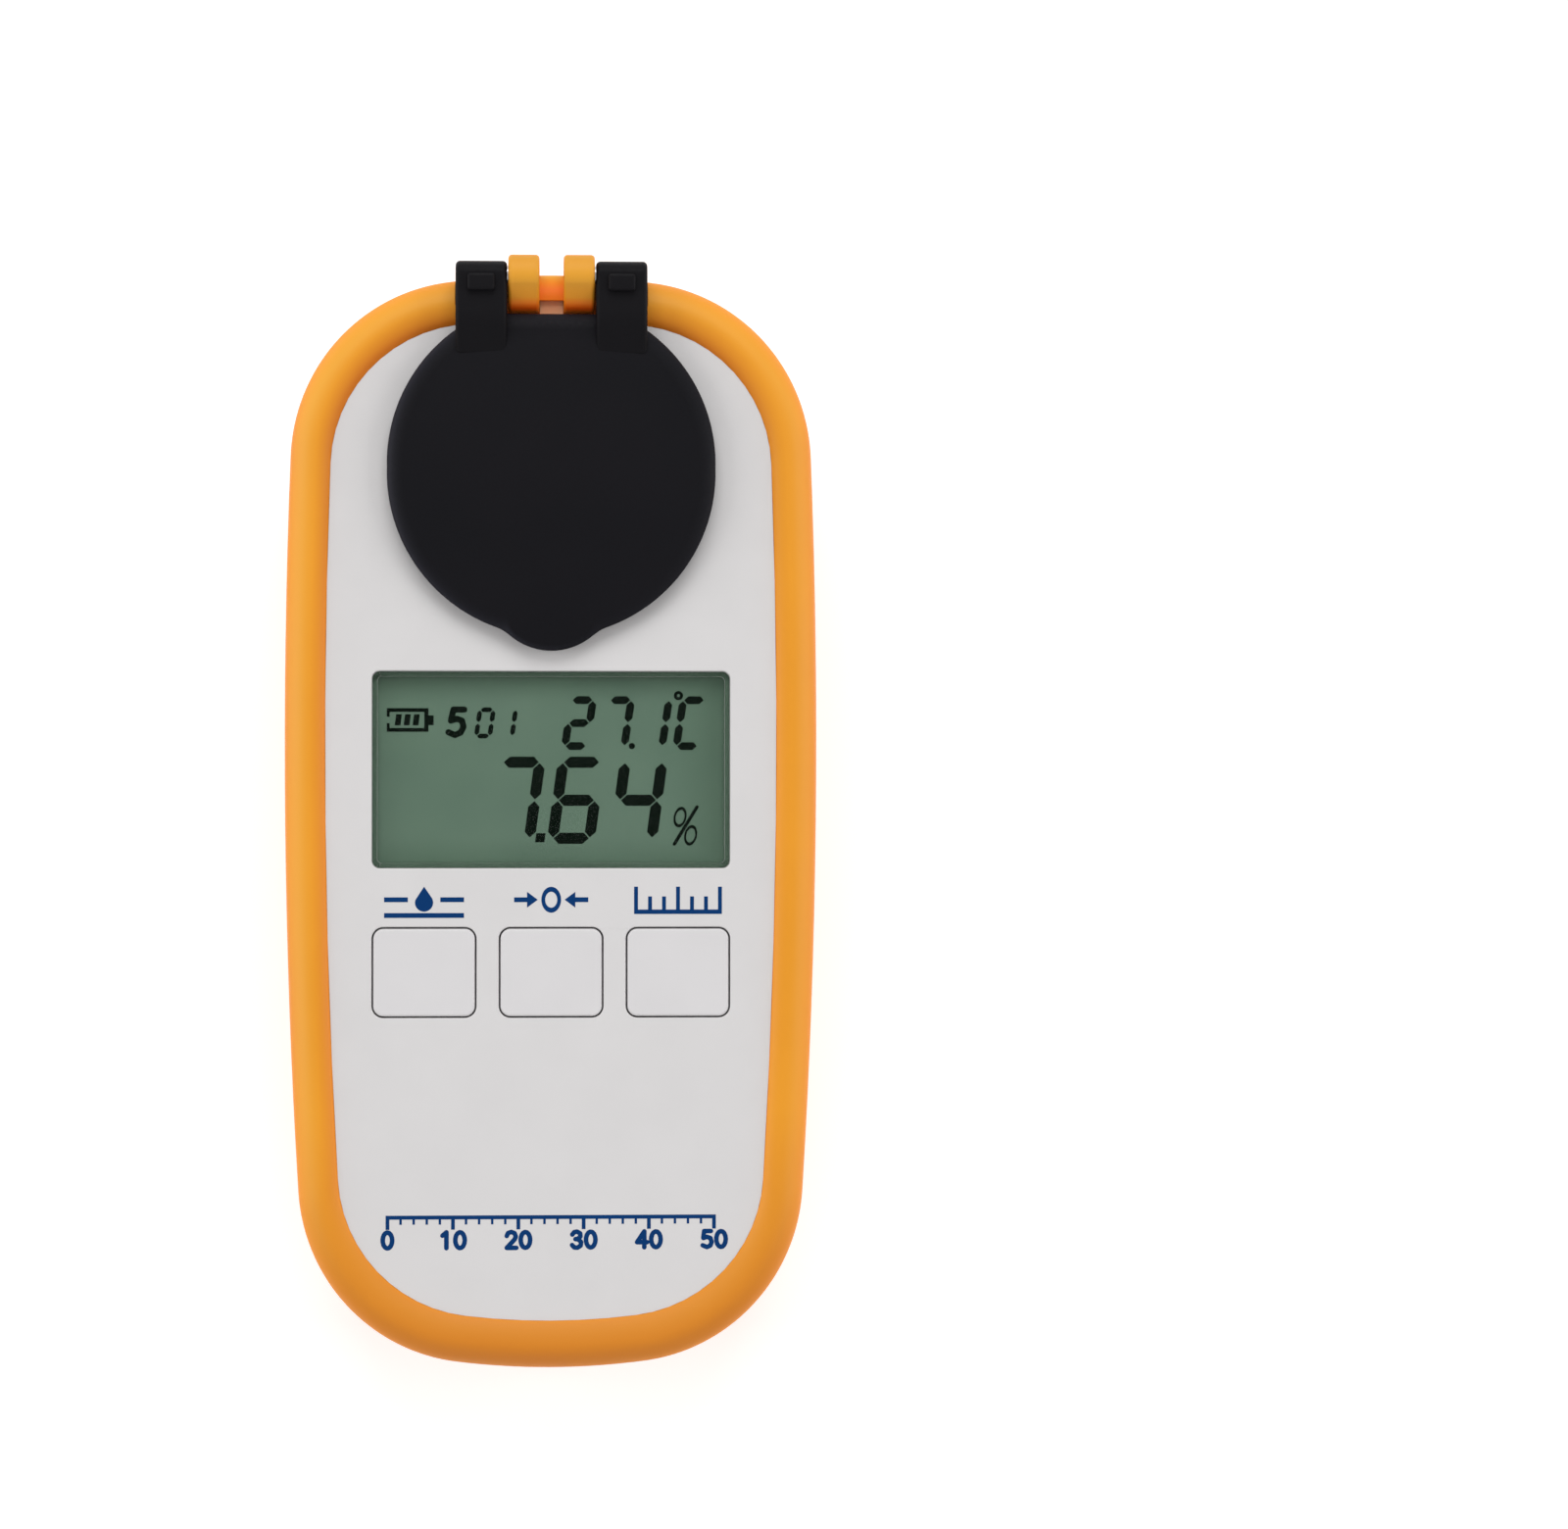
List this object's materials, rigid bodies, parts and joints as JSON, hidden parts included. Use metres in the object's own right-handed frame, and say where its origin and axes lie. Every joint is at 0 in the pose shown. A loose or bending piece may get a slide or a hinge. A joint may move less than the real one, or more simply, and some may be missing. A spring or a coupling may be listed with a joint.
{
  "type": "refractometer",
  "caption": "Handheld digital refractometer in a rubber boot, with display, keys, hinged lid over a sample dish, and battery door.",
  "frame": {"origin": "bottom centre of the bounding box, on the plane the feet rest on", "axes": "lying on its back: +Z out of the front panel, +Y towards the lid hinge, +X to the right seen from the front"},
  "size_m": [0.0584, 0.1206, 0.0312],
  "materials": {
    "boot_rubber": "satin",
    "shell_white": "matt",
    "seal_rubber": "matt",
    "steel": "brushed",
    "foam": "matt",
    "lid_rubber": "satin",
    "window_glass": "clear",
    "tape": "matt",
    "frame_white": "matt",
    "lcd": "gloss",
    "key_white": "satin",
    "switch_black": "satin",
    "circuit_board": "solder mask",
    "chip": "matt",
    "board_part": "matt",
    "optical_glass": "polished",
    "optics_black": "matt",
    "led_amber": "clear",
    "cable_film": "satin",
    "cell_wrap": "gloss",
    "wire_red": "satin",
    "wire_black": "satin"
  },
  "bodies": {
    "base": {"boot": "boot_rubber", "front_shell": "shell_white", "back_shell": "shell_white", "case_seal": "seal_rubber", "case_screws": "steel", "hinge_pins": "steel", "lcd_window": "window_glass", "window_tape": "tape", "lcd_frame": "frame_white", "lcd_panel": "lcd", "zebra_strips": "seal_rubber", "switch_housings": "switch_black", "main_board": "circuit_board", "board_screws": "steel", "microcontroller": "chip", "board_parts": "board_part", "cable_socket": "frame_white", "sample_dish": "steel", "dish_seal": "seal_rubber", "prism": "optical_glass", "prism_gasket": "seal_rubber", "optics_block": "optics_black", "optics_screws": "steel", "lens": "optical_glass", "led": "led_amber", "led_board": "circuit_board", "sensor_board": "circuit_board", "line_sensor": "chip", "thermistor": "chip", "sensor_cable": "cable_film", "battery": "cell_wrap", "spring_contact": "steel", "plate_contact": "steel", "lead_red": "wire_red", "lead_black": "wire_black"},
    "lid": {"lid": "lid_rubber"},
    "left_key": {"key_left": "key_white", "plunger_left": "switch_black"},
    "middle_key": {"key_middle": "key_white", "plunger_middle": "switch_black"},
    "right_key": {"key_right": "key_white", "plunger_right": "switch_black"},
    "door": {"battery_door": "shell_white", "battery_pad": "foam"}
  },
  "joints": [
    {"name": "lid_hinge", "type": "hinge", "parent": "base", "child": "lid", "pos_m": [0, 0.0582, 0.02845], "axis": [-1, 0, 0], "range_deg": [0, 180]},
    {"name": "left_key_press", "type": "slide", "parent": "base", "child": "left_key", "axis": [0, 0, -1], "range_m": [0, 0.0005], "stiffness_N_per_m": 1500, "springref_m": -0.0006},
    {"name": "middle_key_press", "type": "slide", "parent": "base", "child": "middle_key", "axis": [0, 0, -1], "range_m": [0, 0.0005], "stiffness_N_per_m": 1500, "springref_m": -0.0006},
    {"name": "right_key_press", "type": "slide", "parent": "base", "child": "right_key", "axis": [0, 0, -1], "range_m": [0, 0.0005], "stiffness_N_per_m": 1500, "springref_m": -0.0006},
    {"name": "battery_door_hinge", "type": "hinge", "parent": "base", "child": "door", "pos_m": [0, -0.002, 0.0016], "axis": [1, 0, 0], "range_deg": [0, 95]}
  ]
}
